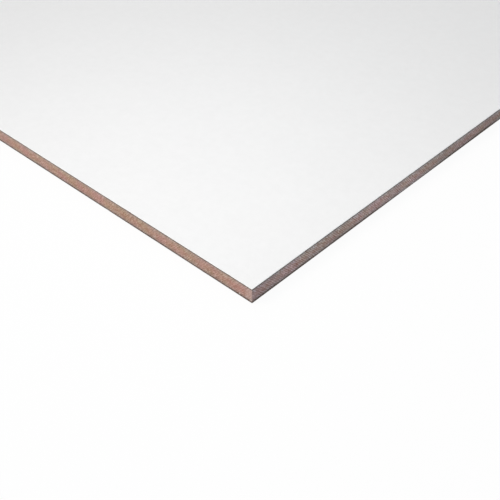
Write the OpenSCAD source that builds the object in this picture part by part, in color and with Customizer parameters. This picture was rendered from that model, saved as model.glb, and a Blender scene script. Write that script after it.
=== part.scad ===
// White-faced hardboard sheet
//
// A flat panel of pressed wood fibre with a thin white facing bonded to its upper face.
// It lies flat: the length runs along X, the width along Y and the thickness along Z.
// The origin is at the middle of the underside. The edges are sawn square, so the board
// and its facing end at the same four planes.

/* [Sheet] */
// Length of the sheet
sheet_length = 1220; // [300:10:3050]
// Width of the sheet
sheet_width = 610; // [150:5:1830]

/* [Layers] */
// Thickness of the pressed fibreboard
board_thickness = 3.1; // [1.9:0.1:9]
// Thickness of the white facing bonded on top of it
facing_thickness = 0.1; // [0.05:0.01:1]

/* [Hidden] */

// The facing is bonded face to face, so its underside is the board's upper face
facing_base = board_thickness;

// A sawn layer as long and as wide as the sheet, standing on the height given
module sawn_layer(base, thickness) {
    translate([-sheet_length / 2, -sheet_width / 2, base])
        cube([sheet_length, sheet_width, thickness]);
}

module fibreboard() {
    color([0.69, 0.55, 0.49])
        sawn_layer(0, board_thickness);
}

module white_facing() {
    color([0.97, 0.97, 0.97])
        sawn_layer(facing_base, facing_thickness);
}

fibreboard();
white_facing();
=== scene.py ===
"""White-faced hardboard sheet: the looks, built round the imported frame.

The sheet lies flat with its white face up. Two pieces are made here, each in place of the CAD node that
it stands for: the pressed fibreboard, with its sawn edges, and the thin white facing bonded on top of it.
Everything is in metres in the row frame, and small sizes are written in millimetres and multiplied by MM.
Inside the materials, places and the scales of the noise are in millimetres.
"""

import math
from collections import namedtuple

import bpy
import numpy as np
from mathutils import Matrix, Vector


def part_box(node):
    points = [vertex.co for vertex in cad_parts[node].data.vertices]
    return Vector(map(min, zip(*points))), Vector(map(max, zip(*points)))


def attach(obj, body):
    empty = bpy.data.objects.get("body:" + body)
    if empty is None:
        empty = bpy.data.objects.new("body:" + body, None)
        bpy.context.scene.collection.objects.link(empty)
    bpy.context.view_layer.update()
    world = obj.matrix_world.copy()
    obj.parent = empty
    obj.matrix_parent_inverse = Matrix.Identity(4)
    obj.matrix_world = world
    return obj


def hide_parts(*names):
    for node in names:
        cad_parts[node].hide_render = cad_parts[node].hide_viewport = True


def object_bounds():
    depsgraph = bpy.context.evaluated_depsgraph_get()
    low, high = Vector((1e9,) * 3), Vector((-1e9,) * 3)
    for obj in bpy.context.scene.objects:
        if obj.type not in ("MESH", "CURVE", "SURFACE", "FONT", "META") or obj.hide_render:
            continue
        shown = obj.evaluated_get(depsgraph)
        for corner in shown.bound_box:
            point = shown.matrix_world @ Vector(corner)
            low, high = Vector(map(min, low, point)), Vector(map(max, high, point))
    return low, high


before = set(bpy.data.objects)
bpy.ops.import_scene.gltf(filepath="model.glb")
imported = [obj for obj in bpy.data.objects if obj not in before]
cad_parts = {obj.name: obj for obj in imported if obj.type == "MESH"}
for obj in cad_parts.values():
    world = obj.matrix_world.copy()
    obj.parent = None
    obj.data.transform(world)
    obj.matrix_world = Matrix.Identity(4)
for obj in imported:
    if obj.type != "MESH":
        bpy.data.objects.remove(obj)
cad_low, cad_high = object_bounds()
board_low, board_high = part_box("fibreboard")
facing_low, facing_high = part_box("white_facing")

MM = 0.001

# Shape of the board's edges. The fine steps are extra columns of points beside each corner. The edge
# heights are those of the rows of points, up to the board's top, and are scaled to the board's thickness.
BOARD_SEED = 7
COLUMN_SPACING = 0.5 * MM
CORNER_RADIUS = 0.16 * MM
CORNER_STEPS = 4
FINE_STEPS = np.array([0.06, 0.13, 0.21, 0.31, 2.57, 2.68, 2.77, 2.86, 2.94]) * MM
EDGE_HEIGHTS = np.array([0.20, 0.34, 0.46, 0.58, 0.74, 1.10, 1.60, 2.10, 2.60, 3.10])
LOWER_ARRIS = 0.05 * MM
LOWER_ARRIS_STEPS = 2

# Saw marks. The slant is how far a mark runs along the edge for each millimetre of height.
SAW_SLANT = 0.95
SAW_PITCH = 0.53 * MM
SAW_DEPTH = 0.011 * MM
SAW_DEPTH_AT_SKINS = 0.4
SAW_WAVES = {"waves": 9, "shortest": 1.2 * MM, "longest": 3.5 * MM}
WANDER_DEPTH = 0.008 * MM
WANDER_WAVES = {"waves": 5, "shortest": 14 * MM, "longest": 60 * MM}
WAVE_HEADROOM = 1.6

# Chips along the foot, and the small chip and the nick beside the near corner, which is the one at +X -Y
FOOT_CHIPS = {"spacing": 70 * MM, "widths": (0.7 * MM, 1.4 * MM), "depths": (0.02 * MM, 0.06 * MM)}
FOOT_CHIP_HEIGHT = 0.45 * MM
Hollow = namedtuple("Hollow", "before_corner height half_width half_height")
CORNER_CHIP = Hollow(0.17 * MM, 0.54 * MM, 0.26 * MM, 0.19 * MM)
NICK = Hollow(2.77 * MM, 0.46 * MM, 0.19 * MM, 0.17 * MM)
HOLLOW_DEPTH = 0.09 * MM

# Shape of the white facing's edge
FACING_SEED = 11
FACING_CHIPS = {"spacing": 9 * MM, "widths": (0.5 * MM, 1.2 * MM), "depths": (0.01 * MM, 0.05 * MM)}
FACING_ARRIS = 0.07 * MM
FACING_ARRIS_STEPS = 3

# The square picture that the board's colours are baked into. The edge is folded into lines, and fills that
# share of a line's height. The other sizes are shares of the picture's side.
EDGE_LINES = 15
EDGE_PART = 0.25
EDGE_FILLS = 0.78
UNDERSIDE_PART = 0.5
TOP_FACE_SIZE = (0.5, 0.24)
MAP_MARGIN = 0.003

# Noise on the sawn edge. stretch is how much faster a field changes up the edge than along it, and 0
# keeps it the same all the way up. The seed is where in the noise the field is taken from.
Field = namedtuple("Field", "stretch seed scale detail roughness", defaults=[0.55])
HUES = Field(0.9, 0.0, 0.24, 2.0)
PALENESS = Field(0.9, 20.0, 0.30, 2.0)
MOTTLE = Field(2.6, 40.0, 0.9, 3.0, 0.6)
GRAIN = Field(2.2, 80.0, 3.2, 2.0)
SAW_SCRATCHES = Field(0.4, 120.0, 3.8, 3.0, 0.7)
SAW_WOBBLE = Field(0.0, 140.0, 0.5, 2.0)
SAW_STRENGTH = Field(0.3, 180.0, 0.4, 2.0)
SKIN_WANDER = Field(0.0, 200.0, 0.8, 3.0, 0.6)
FOOT_REACH = Field(0.0, 220.0, 0.07, 1.0)
SAW_BANDS = Field(0.8, 260.0, 1.3, 2.0)
BROAD_SHADE = Field(0.1, 460.0, 0.035, 2.0)

# Colours of the sawn edge, from 0 to 255. The steps are the parts of a noise's range, and the bands the
# distances from the middle of the thickness, over which a colour comes in or goes out. The greying is
# what the ends' colour is multiplied by. It is painted cool shade, which makes the sheet's ends greyer and
# bluer.
PINKISH_BROWN = (200, 157, 148)
YELLOWISH_BROWN = (192, 164, 139)
HUE_STEP = (0.34, 0.66)
PALE_BROWN = (192, 170, 162)
PALE_STEP = (0.45, 0.70)
PALE_SHARE = 0.35
MIDDLE_BROWN = (198, 148, 131)
MIDDLE_BAND = (0.1, 0.8)
MIDDLE_SHARE = 0.4
OUTER_BROWN = (187, 169, 161)
OUTER_BAND = (0.5, 1.4)
OUTER_SHARE = 0.5
PAINTED_SHADE_GREYING_AT_ENDS = (1.045, 1.18, 1.34, 1)

# The dense skins show as dark lines. The line at the foot is partly the dense surface and partly painted
# shade where the board meets the floor, darker on the sheet's ends. Their bands are distances from the top
# and from the foot.
UPPER_SKIN = (121, 108, 100)
UPPER_SKIN_BAND = (0.03, 0.26)
UPPER_SKIN_WANDER = 0.14
FOOT_SKIN_AND_SHADE = (118, 103, 97)
FOOT_SKIN_AND_SHADE_AT_ENDS = (100, 79, 67)
FOOT_SKIN_AND_SHADE_BAND = (0.08, 0.55)
FOOT_SKIN_AND_SHADE_SHARE = 0.95
FOOT_SKIN_AND_SHADE_WANDER = 0.20

# Where the cut is painted pale beside the upright corners of the long edges, a painted highlight of the
# rounded corner, and where it is chipped. The arris and the reach are distances from the sheet's end, and
# the other two pairs are heights.
CORNER_HIGHLIGHT_COLOUR = (226, 203, 196)
CORNER_HIGHLIGHT_ARRIS = (0.2, 0.55)
CORNER_HIGHLIGHT_ARRIS_SHARE = 0.25
CORNER_HIGHLIGHT_REACH = (0.8, 2.0)
CORNER_HIGHLIGHT_SHARE = 0.27
CORNER_HIGHLIGHT_STARTS = (0.35, 0.7)
CORNER_HIGHLIGHT_FADES = (1.6, 2.9)
CORNER_HIGHLIGHT_AT_TOP = 0.3
CHIPPED_FIBRE = (228, 222, 216)
CHIPPED_SHARE = 0.95

# What differs between the long edges and the sheet's two ends. A swing is the whole range of a factor
# that varies round 1. The spread is how far the border of the dark line at the foot varies, and the rise
# how much higher it lies. The tooth shade is how strongly the saw tooth marks lighten and darken the
# colour, partly painted shading of their relief, stronger on the ends, where the light rakes.
Sides = namedtuple("Sides", "long_edges ends")
HUE_CONTRAST = Sides(1.0, 0.65)
FOOT_SPREAD = Sides(0.3, 1.1)
FOOT_RISE = Sides(0.0, 0.045)
BROAD_SWING = Sides(0.35, 1.75)
BAND_SWING = Sides(0.76, 1.40)
TOOTH_MARK_AND_RAKING_SHADE = Sides(0.12, 0.27)

# An edge's turn is 1 where it faces along X, at the sheet's ends, and -1 where it faces along Y. It
# counts as an end past the first step, and as a long edge before the second.
END_STEP = (-0.3, 0.6)
LONG_EDGE_STEP = (-0.4, 0.3)

# The edge's light and dark, relief and gloss. The painted foot shade band is a pair of heights, over
# which painted shade towards the foot gives way to the brighter colour above.
MOTTLE_SWING = 0.52
GRAIN_SWING = 1.80
SCRATCH_SWING = 1.70
SPECKLE_TINT = (0.80, 1.08, 1.25)
SAW_WOBBLE_TURNS = 1.6
SAW_STRENGTH_STEP = (0.35, 0.65)
WEAKEST_SAW_MARKS = 0.4
PAINTED_FOOT_SHADE_BAND = (0.3, 1.8)
PAINTED_SHADE_AT_FOOT = 0.94
SHADE_ABOVE = 1.035
GRAIN_RELIEF = 0.025
SCRATCH_RELIEF = 0.04
TOOTH_RELIEF = 0.005
EDGE_BUMP = 0.8
EDGE_ROUGHNESS = (0.72, 0.86)
EDGE_SPECULAR = 0.3

# The board's underside. Clouds, fibres, flecks and grain each give a noise's scale, detail and roughness.
BACK_BROWN = (150, 115, 92)
BACK_LIGHT_BROWN = (160, 122, 96)
BACK_CLOUDS = (0.02, 4.0, 0.6)
BACK_CLOUD_STEP = (0.35, 0.65)
BACK_FIBRES = (0.9, 4.0, 0.65)
BACK_FIBRE_STRETCH = 0.4
BACK_FIBRE_SWING = 0.90
BACK_FLECKS = (0.4, 3.0, 0.65)
BACK_FLECK_SEED = 60.0
BACK_FLECK_BROWN = (122, 91, 72)
BACK_FLECK_STEP = (0.55, 0.70)
BACK_FLECK_SHARE = 0.6
BACK_GRAIN = (3.0, 2.0, 0.6)
BACK_GRAIN_SWING = 0.60
BACK_BUMP = 0.5
BACK_BUMP_DEPTH = 0.08 * MM
BACK_ROUGHNESS = (0.62, 0.8)
BACK_SPECULAR = 0.35

# The white face, whose whites are linear. Clouds, mottle and peel are noises like the underside's.
FACE_WHITE = (0.905, 0.900, 0.897, 1)
FACE_LIGHTER_WHITE = (0.915, 0.910, 0.907, 1)
FACE_CLOUDS = (0.06, 3.0, 0.5)
FACE_MOTTLE = (0.55, 2.0, 0.5)
FACE_MOTTLE_SWING = 0.040
FACE_PEEL = (1.3, 2.0, 0.5)
FACE_PEEL_SWING = 0.024
FACE_BUMP = 0.25
FACE_BUMP_DEPTH = 0.004 * MM
FACE_ROUGHNESS = (0.40, 0.46)
FACE_SPECULAR = 0.5

# Camera, measured from the near corner of the board's top
CAMERA_BACK = 94.77 * MM
CAMERA_ASIDE = -0.338 * MM
CAMERA_ABOVE = 87.65 * MM
CAMERA_PITCH = math.radians(39.871)
CAMERA_HEADING = math.radians(43.06)
CAMERA_LENS = 56.70
CAMERA_CLIP_START = 0.01

# Floor and light. Lamps are placed and aimed from the near corner of the white face.
FLOOR_REACH = 60.0
FLOOR_COLOUR = (0.45, 0.45, 0.45, 1)
FLOOR_SEEN_COLOUR = (0.95, 0.95, 0.95, 1)
FLOOR_GLOW = 0.93
WHITE = (1, 1, 1, 1)
DOME_COLOUR = (0.88, 1.0, 1.10, 1)
DOME_STRENGTH = 0.36
FRONT_FILL_FROM = (0, -1, 0.5)
FRONT_FILL_FOCUS = 3.0
FRONT_FILL_STRENGTH = 0.56
Lamp = namedtuple("Lamp", "name place aim size power colour")
LAMPS = [
    Lamp("key_lamp", (-2.56, -2.38, 3.5), (-0.05, 0.05, 0), 1.75, 82.2, (1, 0.84, 0.70)),
    Lamp("corner_lamp", (-0.025, -0.005, 0.105), (-0.025, -0.005, 0), 0.11, 0.0451, (1, 1, 1)),
    Lamp("top_lamp", (-0.64, 0.50, 0.66), (-0.64, 0.50, 0), 0.6, 0.93, (1, 1, 1)),
]


# ---------------------------------------------------------------- shader nodes

class Nodes:
    """Adds nodes to one node tree, each in one call that also wires its inputs. Apart from add and
    surface, the calls return an output socket."""

    def __init__(self, tree):
        self.tree = tree
        tree.nodes.clear()

    def add(self, kind, inputs=None, **settings):
        """A node of that kind. inputs maps a socket's name or number to a value or to another socket."""
        node = self.tree.nodes.new(kind)
        for name, value in settings.items():
            setattr(node, name, value)
        for key, value in (inputs or {}).items():
            if isinstance(value, bpy.types.NodeSocket):
                self.tree.links.new(value, node.inputs[key])
            else:
                node.inputs[key].default_value = value
        return node

    def math(self, operation, *values):
        return self.add("ShaderNodeMath", dict(enumerate(values)), operation=operation).outputs[0]

    def plus(self, value, added):
        return self.math("ADD", value, added)

    def minus(self, value, taken):
        return self.math("SUBTRACT", value, taken)

    def times(self, value, *factors):
        for factor in factors:
            value = self.math("MULTIPLY", value, factor)
        return value

    def times_plus(self, value, factor, added):
        return self.math("MULTIPLY_ADD", value, factor, added)

    def vector(self, x=0.0, y=0.0, z=0.0):
        return self.add("ShaderNodeCombineXYZ", {0: x, 1: y, 2: z}).outputs[0]

    def vector_math(self, operation, *values):
        return self.add("ShaderNodeVectorMath", dict(enumerate(values)), operation=operation).outputs[0]

    def scaled(self, vector, factor):
        return self.add("ShaderNodeVectorMath", {0: vector, "Scale": factor}, operation="SCALE").outputs[0]

    def attribute(self, name):
        return self.add("ShaderNodeAttribute", attribute_name=name).outputs["Fac"]

    def noise(self, place, scale, detail, roughness):
        values = {"Vector": place, "Scale": scale, "Detail": detail, "Roughness": roughness}
        return self.add("ShaderNodeTexNoise", values).outputs[0]

    def smooth(self, value, low, high, start=0.0, end=1.0):
        """start below low, end above high, and a smooth step between them."""
        values = {0: value, 1: low, 2: high, 3: start, 4: end}
        return self.add("ShaderNodeMapRange", values, interpolation_type="SMOOTHSTEP").outputs[0]

    def between(self, noise, start, end):
        """A value that goes from start to end over most of a noise's range."""
        return self.smooth(noise, 0.3, 0.7, start, end)

    def around_one(self, noise, swing):
        """A factor that varies round 1 as the noise varies round a half."""
        return self.times_plus(self.minus(noise, 0.5), swing, 1.0)

    def mix(self, share, base, other, blend="MIX"):
        values = {0: share, 6: base, 7: other}
        return self.add("ShaderNodeMix", values, data_type="RGBA", blend_type=blend).outputs[2]

    def bump(self, strength, distance, height):
        values = {"Strength": strength, "Distance": distance, "Height": height}
        return self.add("ShaderNodeBump", values).outputs[0]

    def surface(self, colour, roughness, specular, normal):
        """The shader that ends a material."""
        values = {"Base Color": colour, "Roughness": roughness, "Specular IOR Level": specular,
                  "Normal": normal}
        shader = self.add("ShaderNodeBsdfPrincipled", values)
        self.add("ShaderNodeOutputMaterial", {0: shader.outputs[0]})


def material(name):
    made = bpy.data.materials.new(name)
    made.use_nodes = True
    return made, Nodes(made.node_tree)


def linear(colour):
    """A colour written as 0 to 255 sRGB values, as the linear colour that a shader takes."""
    def one(value):
        share = value / 255
        return share / 12.92 if share <= 0.04045 else ((share + 0.055) / 1.055) ** 2.4
    return tuple(one(value) for value in colour) + (1.0,)


def in_millimetres(nodes):
    """The place on the sheet in millimetres, as a vector socket, and its X, Y and Z."""
    place = nodes.add("ShaderNodeTexCoord").outputs["Object"]
    scaled = nodes.scaled(place, 1 / MM)
    parts = nodes.add("ShaderNodeSeparateXYZ", {0: scaled})
    return scaled, parts.outputs[0], parts.outputs[1], parts.outputs[2]


# --------------------------------------------------------- the sawn edge's look

class SawnEdge:
    """Where a point of the board's edge lies, in millimetres, as sockets of one node tree."""

    def __init__(self, nodes):
        _, across, _, self.height = in_millimetres(nodes)
        thickness = (board_high.z - board_low.z) / MM
        half_length = (board_high.x - board_low.x) / 2 / MM
        self.nodes = nodes
        self.run = nodes.times(nodes.attribute("edge_run"), 1 / MM)
        self.turn = nodes.attribute("saw_turn")
        self.slanted = nodes.times_plus(nodes.times(self.height, SAW_SLANT), self.turn, self.run)
        self.ends = nodes.smooth(self.turn, *END_STEP)
        self.from_top = nodes.minus(thickness, self.height)
        self.from_middle = nodes.math("ABSOLUTE", nodes.minus(self.height, thickness / 2))
        self.from_end = nodes.minus(half_length, nodes.math("ABSOLUTE", across))

    def noise(self, field):
        """A noise field that runs along the edge."""
        return self.noise_along(self.run, field)

    def saw_noise(self, field):
        """A noise field that slants as the saw marks do."""
        return self.noise_along(self.slanted, field)

    def noise_along(self, along, field):
        up = self.nodes.times(self.height, field.stretch)
        place = self.nodes.vector(along, up, field.seed)
        return self.nodes.noise(place, field.scale, field.detail, field.roughness)

    def by_side(self, sides):
        """One value on the long edges, and the other on the sheet's ends."""
        return self.nodes.times_plus(self.ends, sides.ends - sides.long_edges, sides.long_edges)


def fibre_colour(nodes, edge):
    """Two browns in patches, paler in places, redder halfway up, and greyer at the sheet's ends, which is
    painted cool shade.
    """
    hue = nodes.minus(nodes.smooth(edge.noise(HUES), *HUE_STEP), 0.5)
    hue = nodes.times_plus(hue, edge.by_side(HUE_CONTRAST), 0.5)
    colour = nodes.mix(hue, linear(PINKISH_BROWN), linear(YELLOWISH_BROWN))
    pale = nodes.smooth(edge.noise(PALENESS), *PALE_STEP, 0.0, PALE_SHARE)
    colour = nodes.mix(pale, colour, linear(PALE_BROWN))
    middle = nodes.smooth(edge.from_middle, *MIDDLE_BAND, MIDDLE_SHARE, 0.0)
    colour = nodes.mix(middle, colour, linear(MIDDLE_BROWN))
    outer = nodes.smooth(edge.from_middle, *OUTER_BAND, 0.0, OUTER_SHARE)
    colour = nodes.mix(outer, colour, linear(OUTER_BROWN))
    # Painted cool shade: the sheet's ends are made greyer and bluer.
    return nodes.mix(edge.ends, colour, PAINTED_SHADE_GREYING_AT_ENDS, "MULTIPLY")


def with_skins_and_foot_shade(nodes, edge, colour):
    """The colour with the dark lines of the dense skins, whose borders wander. The line at the foot is
    partly painted shade, darker on the sheet's ends.
    """
    wander = edge.noise(SKIN_WANDER)
    upper = nodes.minus(edge.from_top, nodes.times(wander, UPPER_SKIN_WANDER))
    upper = nodes.smooth(upper, *UPPER_SKIN_BAND, 1.0, 0.0)
    colour = nodes.mix(upper, colour, linear(UPPER_SKIN))

    lower = nodes.minus(edge.height, nodes.times(wander, FOOT_SKIN_AND_SHADE_WANDER))
    reach = nodes.minus(edge.noise(FOOT_REACH), 0.5)
    lower = nodes.minus(lower, nodes.times(reach, edge.by_side(FOOT_SPREAD)))
    lower = nodes.minus(lower, edge.by_side(FOOT_RISE))
    lower = nodes.smooth(lower, *FOOT_SKIN_AND_SHADE_BAND, FOOT_SKIN_AND_SHADE_SHARE, 0.0)
    # The foot line: dense surface darkened by painted shade, darker still on the sheet's ends.
    foot_line_colour = nodes.mix(edge.ends, linear(FOOT_SKIN_AND_SHADE), linear(FOOT_SKIN_AND_SHADE_AT_ENDS))
    return nodes.mix(lower, colour, foot_line_colour)


def saw_tooth_marks(nodes, edge):
    """Slanting marks, one to a saw tooth, from -1 to 1. Their pitch is uneven, and they fade in places."""
    even = nodes.times(edge.slanted, MM / SAW_PITCH)
    turns = nodes.times_plus(edge.saw_noise(SAW_WOBBLE), SAW_WOBBLE_TURNS, even)
    marks = nodes.math("SINE", nodes.times(turns, 2 * math.pi))
    strength = edge.saw_noise(SAW_STRENGTH)
    return nodes.times(marks, nodes.smooth(strength, *SAW_STRENGTH_STEP, WEAKEST_SAW_MARKS, 1.0))


def speckle(nodes, edge, mottle, grain, scratches, tooth_marks):
    """What the light and dark of the fibres and the saw marks multiply the colour by. The saw tooth marks'
    part is partly painted shading of their relief, stronger on the sheet's ends. It is weaker in red and
    stronger in blue, so that pale flecks look greyer than dark ones."""
    mottled = nodes.around_one(mottle, MOTTLE_SWING)
    grainy = nodes.around_one(grain, GRAIN_SWING)
    scratched = nodes.around_one(scratches, SCRATCH_SWING)
    banded = nodes.around_one(edge.saw_noise(SAW_BANDS), edge.by_side(BAND_SWING))
    # Partly painted shading of the saw teeth's relief, stronger on the ends.
    toothed = nodes.times_plus(tooth_marks, edge.by_side(TOOTH_MARK_AND_RAKING_SHADE), 1.0)
    change = nodes.minus(nodes.times(mottled, grainy, scratched, banded, toothed), 1.0)
    return nodes.vector_math("MULTIPLY_ADD", change, SPECKLE_TINT, (1, 1, 1))


def broad_tone_and_painted_foot_shade(nodes, edge):
    """A factor for the broad light and dark stretches of an edge, and painted shade that darkens it towards
    its foot.
    """
    stretches = nodes.around_one(edge.noise(BROAD_SHADE), edge.by_side(BROAD_SWING))
    # Painted shade, darker towards the foot.
    return nodes.times(stretches, nodes.smooth(edge.height, *PAINTED_FOOT_SHADE_BAND, PAINTED_SHADE_AT_FOOT, SHADE_ABOVE))


def corner_highlight_share(nodes, edge):
    """A painted highlight: how far the cut is made pale beside the upright corners of the long edges."""
    arris = nodes.smooth(edge.from_end, *CORNER_HIGHLIGHT_ARRIS, CORNER_HIGHLIGHT_ARRIS_SHARE, 0.0)
    beside = nodes.smooth(edge.from_end, *CORNER_HIGHLIGHT_REACH, CORNER_HIGHLIGHT_SHARE, 0.0)
    on_long_edge = nodes.smooth(edge.turn, *LONG_EDGE_STEP, 1.0, 0.0)
    above_foot = nodes.smooth(edge.height, *CORNER_HIGHLIGHT_STARTS)
    below_top = nodes.smooth(edge.height, *CORNER_HIGHLIGHT_FADES, 1.0, CORNER_HIGHLIGHT_AT_TOP)
    return nodes.times(nodes.plus(arris, beside), on_long_edge, above_foot, below_top)


def sawn_edge_material():
    """Pressed wood fibre where the saw cut it: flecked brown, with dark lines at the dense skins, that at
    the foot partly painted shade, painted shade towards the foot, a painted highlight beside the upright
    corners, and pale where it is chipped."""
    made, nodes = material("sawn_fibreboard_edge")
    edge = SawnEdge(nodes)
    mottle = edge.noise(MOTTLE)
    grain = edge.noise(GRAIN)
    scratches = edge.saw_noise(SAW_SCRATCHES)
    tooth_marks = saw_tooth_marks(nodes, edge)

    colour = with_skins_and_foot_shade(nodes, edge, fibre_colour(nodes, edge))
    flecks = speckle(nodes, edge, mottle, grain, scratches, tooth_marks)
    colour = nodes.vector_math("MULTIPLY", colour, flecks)
    # Painted shade towards the foot, with the broad stretches.
    colour = nodes.scaled(colour, broad_tone_and_painted_foot_shade(nodes, edge))
    # Painted highlight beside the upright corners of the long edges.
    colour = nodes.mix(corner_highlight_share(nodes, edge), colour, linear(CORNER_HIGHLIGHT_COLOUR))
    chipped = nodes.times(nodes.attribute("worn"), CHIPPED_SHARE)
    colour = nodes.mix(chipped, colour, linear(CHIPPED_FIBRE))

    relief = nodes.times_plus(grain, GRAIN_RELIEF, nodes.times(scratches, SCRATCH_RELIEF))
    relief = nodes.times_plus(tooth_marks, TOOTH_RELIEF, relief)
    bump = nodes.bump(EDGE_BUMP, MM, relief)
    nodes.surface(colour, nodes.between(mottle, *EDGE_ROUGHNESS), EDGE_SPECULAR, bump)
    return made


# ------------------------------------------------------ the flat faces' looks

def pressed_back_material():
    """The board's underside: plain brown, mottled by its fibres."""
    made, nodes = material("pressed_fibreboard_back")
    place, across, along, _ = in_millimetres(nodes)
    stretched = nodes.times(along, BACK_FIBRE_STRETCH)
    clouds = nodes.noise(place, *BACK_CLOUDS)
    fibres = nodes.noise(nodes.vector(across, stretched), *BACK_FIBRES)
    flecks = nodes.noise(nodes.vector(across, stretched, BACK_FLECK_SEED), *BACK_FLECKS)
    grain = nodes.noise(place, *BACK_GRAIN)

    lighter = nodes.smooth(clouds, *BACK_CLOUD_STEP)
    colour = nodes.mix(lighter, linear(BACK_BROWN), linear(BACK_LIGHT_BROWN))
    flecked = nodes.smooth(flecks, *BACK_FLECK_STEP, 0.0, BACK_FLECK_SHARE)
    colour = nodes.mix(flecked, colour, linear(BACK_FLECK_BROWN))
    fibrous = nodes.around_one(fibres, BACK_FIBRE_SWING)
    grainy = nodes.around_one(grain, BACK_GRAIN_SWING)
    colour = nodes.scaled(colour, nodes.times(fibrous, grainy))
    bump = nodes.bump(BACK_BUMP, BACK_BUMP_DEPTH, fibres)
    nodes.surface(colour, nodes.between(fibres, *BACK_ROUGHNESS), BACK_SPECULAR, bump)
    return made


def white_face_material():
    """The satin white facing: almost even, with a breath of mottling and a very fine orange peel."""
    made, nodes = material("satin_white_facing")
    place, _, _, _ = in_millimetres(nodes)
    clouds = nodes.noise(place, *FACE_CLOUDS)
    mottle = nodes.noise(place, *FACE_MOTTLE)
    peel = nodes.noise(place, *FACE_PEEL)

    colour = nodes.mix(nodes.between(clouds, 0.0, 1.0), FACE_WHITE, FACE_LIGHTER_WHITE)
    mottled = nodes.around_one(mottle, FACE_MOTTLE_SWING)
    peeled = nodes.around_one(peel, FACE_PEEL_SWING)
    colour = nodes.scaled(colour, nodes.times(mottled, peeled))
    bump = nodes.bump(FACE_BUMP, FACE_BUMP_DEPTH, peel)
    nodes.surface(colour, nodes.between(clouds, *FACE_ROUGHNESS), FACE_SPECULAR, bump)
    return made


# ---------------------------------------------------------------------- shapes

def outline(low, high):
    """Points round a rectangle with rounded corners, and which way each faces. They go anticlockwise, seen
    from above, from the corner at -X -Y."""
    half = np.array([high.x - low.x, high.y - low.y]) / 2 - CORNER_RADIUS
    middle = np.array([high.x + low.x, high.y + low.y]) / 2
    points, facings = [], []
    for quarter, corner in enumerate([(-1, -1), (1, -1), (1, 1), (-1, 1)]):
        angles = math.radians(90 * quarter + 180) + np.linspace(0, math.pi / 2, CORNER_STEPS + 1)
        around = np.stack([np.cos(angles), np.sin(angles)], axis=1)
        points.append(middle + half * corner + CORNER_RADIUS * around)
        facings.append(around)
        length = 2 * half[quarter % 2]
        even = np.linspace(0, length, round(length / COLUMN_SPACING) + 1)[1:-1]
        steps = np.sort(np.concatenate([FINE_STEPS, even, length - FINE_STEPS]))
        ahead = np.array([-around[-1][1], around[-1][0]])
        points.append(points[-1][-1] + steps[:, None] * ahead)
        facings.append(np.repeat(around[-1:], len(steps), axis=0))
    return np.concatenate(points), np.concatenate(facings)


def arris(radius, steps, height, upwards):
    """Rows (inset, height) of a quarter round that ends a vertical edge at that height."""
    angles = np.linspace(0, math.pi / 2, steps + 1)
    insets = radius * (1 - np.cos(angles))
    rises = radius * (1 - np.sin(angles))
    if upwards:
        return list(zip(insets, height - rises))
    return list(zip(insets, height + rises))[::-1]


def distances(places):
    """How far along a line of places each one lies."""
    return np.concatenate([[0], np.cumsum(np.linalg.norm(np.diff(places, axis=0), axis=1))])


def baking_map(points, rows):
    """Where each corner of a slab's faces goes in a square picture of its colours. In a picture of the
    whole sheet its edge would be too thin to see, so the edge is folded into lines across the top. The
    underside fills the lower half, and the top face, which is hidden, gets what is left. A face that
    starts just before a fold runs on past the line's end, so the margin there is twice as wide."""
    run = distances(np.concatenate([points, points[:1]]))
    climb = distances(rows)
    lines = run / run[-1] * EDGE_LINES
    line = np.floor(lines[:-1])
    across = np.column_stack([lines[:-1] - line, lines[1:] - line])[:, [0, 1, 1, 0]]
    across = MAP_MARGIN + (1 - 3 * MAP_MARGIN) * across
    share = climb / climb[-1]
    places = []
    for below, above in zip(share[:-1], share[1:]):
        rise = (1 - EDGE_FILLS) / 2 + EDGE_FILLS * np.array([below, below, above, above])
        up = 1 - EDGE_PART * (line[:, None] + 1 - rise) / EDGE_LINES
        places.append(np.stack([across, up], axis=2).reshape(-1, 2))
    face = (points - points.min(axis=0)) / np.ptp(points, axis=0)
    from_below = face[::-1] * (-1, 1) + (1, 0)
    places.append(MAP_MARGIN + from_below * (1 - 2 * MAP_MARGIN, UNDERSIDE_PART - 2 * MAP_MARGIN))
    places.append(MAP_MARGIN + face * TOP_FACE_SIZE + (0, UNDERSIDE_PART))
    return np.concatenate(places)


def slab_faces(columns, rows):
    """The faces of a slab. Its points go round it row by row, and those of its two flat faces come last."""
    here = np.arange(columns)
    after = (here + 1) % columns
    faces = []
    for row in range(rows - 1):
        below, above = row * columns, (row + 1) * columns
        faces += np.column_stack([below + here, below + after, above + after, above + here]).tolist()
    bottom = rows * columns + here[::-1]
    top = (rows + 1) * columns + here
    return faces + [bottom.tolist(), top.tolist()]


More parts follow.
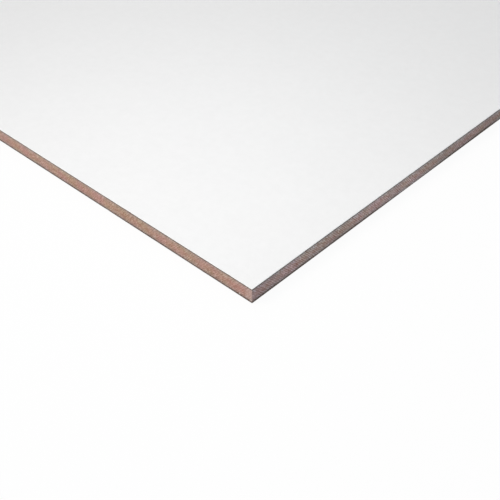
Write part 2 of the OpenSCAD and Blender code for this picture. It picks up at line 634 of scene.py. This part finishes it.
def slab(name, low, high, rows, relief, face_material, edge_material, edge_is_detailed=False):
    """A closed slab. rows are (inset, height) from the bottom up. relief gives how far in each point of a
    row lies behind its row's plane, and how worn it is, from 0 to 1. The two flat faces have points of
    their own, because shared ones would bend the shading at the edge's rim."""
    points, facings = outline(low, high)
    run = distances(points)
    turn = np.abs(facings[:, 0]) - np.abs(facings[:, 1])
    places, wear = [], []
    for inset, height in rows:
        depth, worn = relief(run, turn, height)
        flat = points - facings * (inset + depth)[:, None]
        places.append(np.column_stack([flat, np.full(len(points), height)]))
        wear.append(worn)
    places += [places[0], places[-1]]
    wear += [wear[0], wear[-1]]

    mesh = bpy.data.meshes.new(name)
    faces = slab_faces(len(points), len(rows))
    mesh.from_pydata(np.concatenate(places).tolist(), [], faces)
    is_flat = np.arange(len(faces)) >= len(faces) - 2
    mesh.polygons.foreach_set("use_smooth", ~is_flat)
    mesh.materials.append(edge_material)
    mesh.materials.append(face_material)
    mesh.polygons.foreach_set("material_index", is_flat.astype(np.int32))
    if edge_is_detailed:
        layout = mesh.uv_layers.new(name="OFBake")
        layout.uv.foreach_set("vector", baking_map(points, rows).astype(np.float32).ravel())
    attributes = {"edge_run": np.tile(run, len(places)), "saw_turn": np.tile(turn, len(places)),
                  "worn": np.concatenate(wear)}
    for label, values in attributes.items():
        layer = mesh.attributes.new(label, "FLOAT", "POINT")
        layer.data.foreach_set("value", values.astype(np.float32))
    mesh.update()
    made = bpy.data.objects.new(name, mesh)
    bpy.context.scene.collection.objects.link(made)
    return made


def ripple(rng, waves, shortest, longest):
    """A smooth random curve between 0 and 1, as a function of distance: a sum of sine waves."""
    lengths = np.exp(rng.uniform(math.log(shortest), math.log(longest), waves))
    phases = rng.uniform(0, 2 * math.pi, waves)

    def curve(distance):
        total = sum(np.sin(2 * math.pi * distance / w + p) for w, p in zip(lengths, phases))
        return 0.5 + 0.5 * np.clip(total / (WAVE_HEADROOM * math.sqrt(waves)), -1, 1)
    return curve


def edge_chips(rng, spacing, widths, depths):
    """Random small chips along an edge: a function of distance that gives how deep the edge is chipped."""
    around = 2 * (cad_high.x - cad_low.x + cad_high.y - cad_low.y)
    count = round(around / spacing)
    centres = rng.uniform(0, around, count)
    halves = rng.uniform(*widths, count) / 2
    deep = rng.uniform(*depths, count)

    def depth(distance):
        total = np.zeros(len(distance))
        for centre, half, most in zip(centres, halves, deep):
            total = np.maximum(total, most * np.clip(1 - ((distance - centre) / half) ** 2, 0, 1))
        return total
    return depth


def hollowed(hollow, past_corner, height):
    """How deep a round hollow is, from 1 at its middle to 0 at its rim."""
    along = (past_corner + hollow.before_corner) / hollow.half_width
    up = (height - hollow.height) / hollow.half_height
    return np.clip(1 - along ** 2 - up ** 2, 0, 1)


def board_relief():
    """The sawn edge: slanting saw marks over a slight wander, and a few chips along its foot. The near
    corner has a small chip just above its foot, and a nick beside it."""
    rng = np.random.default_rng(BOARD_SEED)
    marks = ripple(rng, **SAW_WAVES)
    wander = ripple(rng, **WANDER_WAVES)
    chips = edge_chips(rng, **FOOT_CHIPS)
    middle = (board_low.z + board_high.z) / 2
    half = (board_high.z - board_low.z) / 2
    near_corner = board_high.x - board_low.x + CORNER_RADIUS * (math.pi / 2 - 2)

    def relief(run, turn, height):
        core = 1 - ((height - middle) / half) ** 4
        sawn = SAW_DEPTH * marks(run + SAW_SLANT * height * turn)
        sawn *= SAW_DEPTH_AT_SKINS + (1 - SAW_DEPTH_AT_SKINS) * core
        sawn += WANDER_DEPTH * wander(run)
        rise = height - board_low.z
        foot = np.clip(1 - (rise / FOOT_CHIP_HEIGHT) ** 2, 0, 1)
        corner_chip = hollowed(CORNER_CHIP, run - near_corner, rise)
        nick = hollowed(NICK, run - near_corner, rise)
        chipped = np.maximum(chips(run) * foot, HOLLOW_DEPTH * np.maximum(corner_chip, nick))
        return sawn + chipped, chipped / HOLLOW_DEPTH
    return relief


def facing_relief():
    """The white facing's own edge, nibbled by the saw teeth."""
    chips = edge_chips(np.random.default_rng(FACING_SEED), **FACING_CHIPS)

    def relief(run, turn, height):
        return chips(run), np.zeros(len(run))
    return relief


def build_board():
    rows = arris(LOWER_ARRIS, LOWER_ARRIS_STEPS, board_low.z, upwards=False)
    shares = EDGE_HEIGHTS / EDGE_HEIGHTS[-1]
    rows += [(0.0, board_low.z + share * (board_high.z - board_low.z)) for share in shares]
    made = slab("fibreboard_sheet", board_low, board_high, rows, board_relief(),
                pressed_back_material(), sawn_edge_material(), edge_is_detailed=True)
    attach(made, "root")
    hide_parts("fibreboard")


def build_facing():
    white = white_face_material()
    rows = [(0.0, facing_low.z)]
    rows += arris(FACING_ARRIS, FACING_ARRIS_STEPS, facing_high.z, upwards=True)
    made = slab("white_facing_sheet", facing_low, facing_high, rows, facing_relief(), white, white)
    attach(made, "root")
    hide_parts("white_facing")


# ------------------------------------------------------------- camera and room

def build_camera():
    corner = Vector((cad_high.x, cad_low.y, facing_low.z))
    ahead = Vector((-math.sin(CAMERA_HEADING), math.cos(CAMERA_HEADING), 0))
    right = Vector((ahead.y, -ahead.x, 0))
    data = bpy.data.cameras.new("camera")
    data.lens = CAMERA_LENS
    data.clip_start = CAMERA_CLIP_START
    camera = bpy.data.objects.new("camera", data)
    camera.location = corner - ahead * CAMERA_BACK + right * CAMERA_ASIDE + Vector((0, 0, CAMERA_ABOVE))
    camera.rotation_euler = (math.pi / 2 - CAMERA_PITCH, 0, CAMERA_HEADING)
    bpy.context.scene.collection.objects.link(camera)
    bpy.context.scene.camera = camera


def seen_directly(nodes):
    """1 for a thing as it is seen, also in a reflection or through glass, and 0 for the light it sheds."""
    path = nodes.add("ShaderNodeLightPath").outputs
    seen = nodes.math("MAXIMUM", path["Is Camera Ray"], path["Is Glossy Ray"])
    return nodes.math("MAXIMUM", seen, path["Is Transmission Ray"])


def build_floor():
    """A level floor. Seen, it is plain white with a breath of the sheet's shadow. It sheds less light on
    the sheet's edges than white paper would."""
    made, nodes = material("pale_floor")
    paper = nodes.add("ShaderNodeBsdfDiffuse", {"Color": FLOOR_COLOUR}).outputs[0]
    seen_paper = nodes.add("ShaderNodeBsdfDiffuse", {"Color": FLOOR_SEEN_COLOUR}).outputs[0]
    glow = nodes.add("ShaderNodeEmission", {"Color": WHITE, "Strength": 1.0}).outputs[0]
    seen = nodes.add("ShaderNodeMixShader", {0: FLOOR_GLOW, 1: seen_paper, 2: glow}).outputs[0]
    either = nodes.add("ShaderNodeMixShader", {0: seen_directly(nodes), 1: paper, 2: seen}).outputs[0]
    nodes.add("ShaderNodeOutputMaterial", {0: either})

    mesh = bpy.data.meshes.new("floor")
    corners = [(-1, -1), (1, -1), (1, 1), (-1, 1)]
    places = [(FLOOR_REACH * x, FLOOR_REACH * y, cad_low.z) for x, y in corners]
    mesh.from_pydata(places, [], [(0, 1, 2, 3)])
    mesh.materials.append(made)
    floor = bpy.data.objects.new("floor", mesh)
    bpy.context.scene.collection.objects.link(floor)


def build_world():
    """White wherever it is seen. The light that it sheds is a dim cool dome, brighter from the front."""
    world = bpy.data.worlds.new("studio")
    world.use_nodes = True
    bpy.context.scene.world = world
    nodes = Nodes(world.node_tree)
    direction = nodes.add("ShaderNodeTexCoord").outputs["Generated"]
    front = Vector(FRONT_FILL_FROM).normalized()
    facing = nodes.add("ShaderNodeVectorMath", {0: direction, 1: front}, operation="DOT_PRODUCT")
    spread = nodes.math("POWER", nodes.math("MAXIMUM", facing.outputs["Value"], 0.0), FRONT_FILL_FOCUS)
    strength = nodes.times(spread, FRONT_FILL_STRENGTH)
    dome = nodes.add("ShaderNodeBackground", {"Color": DOME_COLOUR, "Strength": DOME_STRENGTH}).outputs[0]
    fill = nodes.add("ShaderNodeBackground", {"Color": WHITE, "Strength": strength}).outputs[0]
    shed = nodes.add("ShaderNodeAddShader", {0: dome, 1: fill}).outputs[0]
    seen = nodes.add("ShaderNodeBackground", {"Color": WHITE, "Strength": 1.0}).outputs[0]
    either = nodes.add("ShaderNodeMixShader", {0: seen_directly(nodes), 1: shed, 2: seen}).outputs[0]
    nodes.add("ShaderNodeOutputWorld", {0: either})


def build_lamps():
    """Soft square lamps, which the camera doesn't see."""
    corner = Vector((cad_high.x, cad_low.y, cad_high.z))
    for lamp in LAMPS:
        data = bpy.data.lights.new(lamp.name, "AREA")
        data.size = lamp.size
        data.energy = lamp.power
        data.color = lamp.colour
        made = bpy.data.objects.new(lamp.name, data)
        made.location = corner + Vector(lamp.place)
        made.rotation_mode = "QUATERNION"
        made.rotation_quaternion = (Vector(lamp.aim) - Vector(lamp.place)).to_track_quat("-Z", "Y")
        made.visible_camera = False
        bpy.context.scene.collection.objects.link(made)


build_camera()
build_board()
build_facing()
build_floor()
build_world()
build_lamps()
bpy.context.scene.view_settings.view_transform = "Standard"
